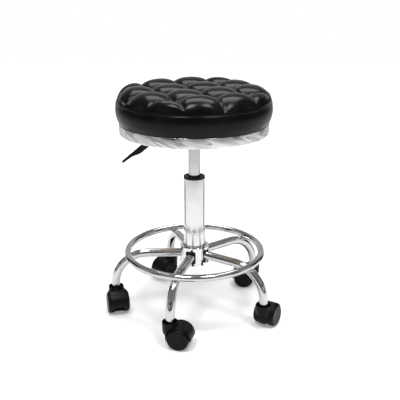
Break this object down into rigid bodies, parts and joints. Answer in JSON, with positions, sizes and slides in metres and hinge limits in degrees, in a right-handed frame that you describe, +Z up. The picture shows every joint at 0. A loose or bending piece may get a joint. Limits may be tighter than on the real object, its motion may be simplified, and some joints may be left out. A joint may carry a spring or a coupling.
{
  "type": "rolling stylist stool",
  "caption": "Round height-adjustable rolling stool with a tufted padded seat, gas lift, foot ring and star base of bent tube legs on twin-wheel casters.",
  "frame": {"origin": "on the floor, on the axis of the column", "axes": "+Z up along the column; the height lever points to -X; seat at a height part way up its travel"},
  "size_m": [0.4138, 0.4181, 0.542],
  "materials": {
    "chrome": "polished",
    "satin_chrome": "satin",
    "bright_steel": "polished",
    "zinc_steel": "satin",
    "brass": "satin",
    "black_steel": "satin",
    "guide_plastic": "satin",
    "handle_plastic": "satin",
    "caster_nylon": "satin",
    "wheel_nylon": "satin",
    "rubber": "matte",
    "plywood": "matte",
    "foam": "matte",
    "vinyl": "satin"
  },
  "bodies": {
    "base": {"hub": "chrome", "hub_socket": "black_steel", "leg_1": "chrome", "leg_2": "chrome", "leg_3": "chrome", "leg_4": "chrome", "leg_5": "chrome", "foot_ring": "chrome", "column_tube": "chrome", "guide_bushing": "guide_plastic", "lower_race": "bright_steel", "stem_sockets": "guide_plastic", "caster_stems": "zinc_steel"},
    "rod": {"piston_rod": "bright_steel", "piston_head": "bright_steel", "upper_race": "bright_steel", "retaining_clip": "zinc_steel", "bump_stop": "rubber"},
    "bearing_cage": {"ball_cage": "guide_plastic", "bearing_balls": "bright_steel"},
    "seat": {"gas_cylinder": "satin_chrome", "cylinder_end_cap": "bright_steel", "valve_body": "brass", "seat_plate": "black_steel", "plate_socket": "black_steel", "mechanism_pan": "black_steel", "lever_bracket": "black_steel", "lever_pin": "zinc_steel", "seat_plate_screws": "zinc_steel", "tee_nuts": "zinc_steel", "seat_board": "plywood", "trim_ring": "chrome", "trim_ring_screws": "zinc_steel", "seat_foam": "foam", "seat_cover": "vinyl"},
    "lever": {"lever_arm": "black_steel", "lever_handle": "handle_plastic"},
    "valve": {"valve_pin": "bright_steel"},
    "caster_1": {"caster_hood_1": "caster_nylon", "caster_axle_1": "zinc_steel"},
    "wheel_l_1": {"wheel_left_1": "wheel_nylon"},
    "wheel_r_1": {"wheel_right_1": "wheel_nylon"},
    "caster_2": {"caster_hood_2": "caster_nylon", "caster_axle_2": "zinc_steel"},
    "wheel_l_2": {"wheel_left_2": "wheel_nylon"},
    "wheel_r_2": {"wheel_right_2": "wheel_nylon"},
    "caster_3": {"caster_hood_3": "caster_nylon", "caster_axle_3": "zinc_steel"},
    "wheel_l_3": {"wheel_left_3": "wheel_nylon"},
    "wheel_r_3": {"wheel_right_3": "wheel_nylon"},
    "caster_4": {"caster_hood_4": "caster_nylon", "caster_axle_4": "zinc_steel"},
    "wheel_l_4": {"wheel_left_4": "wheel_nylon"},
    "wheel_r_4": {"wheel_right_4": "wheel_nylon"},
    "caster_5": {"caster_hood_5": "caster_nylon", "caster_axle_5": "zinc_steel"},
    "wheel_l_5": {"wheel_left_5": "wheel_nylon"},
    "wheel_r_5": {"wheel_right_5": "wheel_nylon"}
  },
  "joints": [
    {"name": "seat_swivel", "type": "hinge", "parent": "base", "child": "rod", "pos_m": [0, 0, 0.13], "axis": [0, 0, 1], "continuous": true},
    {"name": "bearing_roll", "type": "hinge", "parent": "base", "child": "bearing_cage", "pos_m": [0, 0, 0.1316], "axis": [0, 0, 1], "continuous": true},
    {"name": "seat_lift", "type": "slide", "parent": "rod", "child": "seat", "axis": [0, 0, 1], "range_m": [-0.07, 0.045]},
    {"name": "lever_lift", "type": "hinge", "parent": "seat", "child": "lever", "pos_m": [-0.038, 0, 0.4338], "axis": [0, 1, 0], "range_deg": [0, 6], "stiffness_Nm_per_rad": 0.6, "springref_deg": -8.59},
    {"name": "valve_press", "type": "slide", "parent": "seat", "child": "valve", "axis": [0, 0, -1], "range_m": [0, 0.0046], "stiffness_N_per_m": 200, "springref_m": -0.002},
    {"name": "caster_swivel_1", "type": "hinge", "parent": "base", "child": "caster_1", "pos_m": [-0.19, 0, 0.05], "axis": [0, 0, 1], "continuous": true},
    {"name": "wheel_spin_l_1", "type": "hinge", "parent": "caster_1", "child": "wheel_l_1", "pos_m": [-0.18505, -0.02144, 0.025], "axis": [0.9744, 0.225, 0], "continuous": true},
    {"name": "wheel_spin_r_1", "type": "hinge", "parent": "caster_1", "child": "wheel_r_1", "pos_m": [-0.18505, -0.02144, 0.025], "axis": [0.9744, 0.225, 0], "continuous": true},
    {"name": "caster_swivel_2", "type": "hinge", "parent": "base", "child": "caster_2", "pos_m": [-0.05871, -0.1807, 0.05], "axis": [0, 0, 1], "continuous": true},
    {"name": "wheel_spin_l_2", "type": "hinge", "parent": "caster_2", "child": "wheel_l_2", "pos_m": [-0.03767, -0.18713, 0.025], "axis": [0.2924, 0.9563, 0], "continuous": true},
    {"name": "wheel_spin_r_2", "type": "hinge", "parent": "caster_2", "child": "wheel_r_2", "pos_m": [-0.03767, -0.18713, 0.025], "axis": [0.2924, 0.9563, 0], "continuous": true},
    {"name": "caster_swivel_3", "type": "hinge", "parent": "base", "child": "caster_3", "pos_m": [0.15371, -0.11168, 0.05], "axis": [0, 0, 1], "continuous": true},
    {"name": "wheel_spin_l_3", "type": "hinge", "parent": "caster_3", "child": "wheel_l_3", "pos_m": [0.16602, -0.09344, 0.025], "axis": [-0.829, 0.5592, 0], "continuous": true},
    {"name": "wheel_spin_r_3", "type": "hinge", "parent": "caster_3", "child": "wheel_r_3", "pos_m": [0.16602, -0.09344, 0.025], "axis": [-0.829, 0.5592, 0], "continuous": true},
    {"name": "caster_swivel_4", "type": "hinge", "parent": "base", "child": "caster_4", "pos_m": [0.15371, 0.11168, 0.05], "axis": [0, 0, 1], "continuous": true},
    {"name": "wheel_spin_l_4", "type": "hinge", "parent": "caster_4", "child": "wheel_l_4", "pos_m": [0.13188, 0.11436, 0.025], "axis": [-0.1219, -0.9925, 0], "continuous": true},
    {"name": "wheel_spin_r_4", "type": "hinge", "parent": "caster_4", "child": "wheel_r_4", "pos_m": [0.13188, 0.11436, 0.025], "axis": [-0.1219, -0.9925, 0], "continuous": true},
    {"name": "caster_swivel_5", "type": "hinge", "parent": "base", "child": "caster_5", "pos_m": [-0.05871, 0.1807, 0.05], "axis": [0, 0, 1], "continuous": true},
    {"name": "wheel_spin_l_5", "type": "hinge", "parent": "caster_5", "child": "wheel_l_5", "pos_m": [-0.07557, 0.16656, 0.025], "axis": [0.6428, -0.766, 0], "continuous": true},
    {"name": "wheel_spin_r_5", "type": "hinge", "parent": "caster_5", "child": "wheel_r_5", "pos_m": [-0.07557, 0.16656, 0.025], "axis": [0.6428, -0.766, 0], "continuous": true}
  ],
  "couplings": [
    {"joint": "bearing_roll", "follows": "seat_swivel", "ratio": 0.5},
    {"joint": "valve_press", "follows": "lever_lift", "m_per_rad": 0.042}
  ]
}
